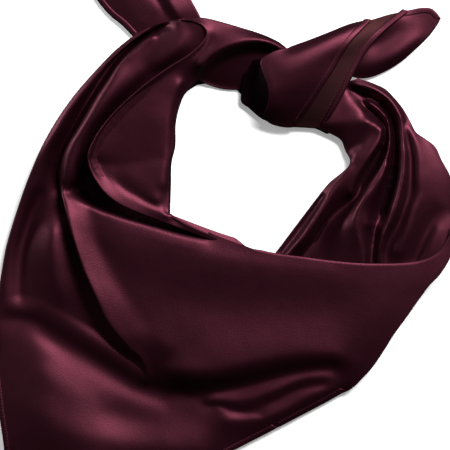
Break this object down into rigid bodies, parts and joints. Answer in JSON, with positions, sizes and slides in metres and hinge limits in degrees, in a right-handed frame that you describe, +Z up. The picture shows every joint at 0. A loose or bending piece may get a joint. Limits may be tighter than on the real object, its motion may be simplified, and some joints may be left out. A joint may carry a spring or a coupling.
{
  "type": "satin scarf",
  "caption": "Square satin scarf folded to a triangle, knotted into a ring and laid flat, with its point to the front and its tied ends at the back.",
  "frame": {"origin": "on the surface the scarf lies on, under the middle of its outline", "axes": "+Z up from the surface, +Y from the front point towards the tied ends, +X to the right seen from above"},
  "size_m": [0.4617, 0.6196, 0.0367],
  "materials": {
    "satin": "satin, dark plum",
    "satin_in_the_knot": "satin, dark plum",
    "satin_wrong_side": "duller satin, brownish plum",
    "satin_hidden_layers": "satin, dark plum"
  },
  "bodies": {
    "root": {"front_panel": "satin", "lower_front": "satin", "left_outer_fold": "satin", "left_middle_fold": "satin", "left_inner_fold": "satin", "back_stretch": "satin", "right_stretch": "satin", "knot_core": "satin_in_the_knot", "right_tail_upper_ply": "satin", "right_tail_second_ply": "satin_wrong_side", "right_tail_leaf": "satin", "right_tail_under_ply": "satin_hidden_layers", "left_tail": "satin", "left_tail_under_ply": "satin_hidden_layers", "under_layers": "satin_hidden_layers"}
  },
  "joints": []
}
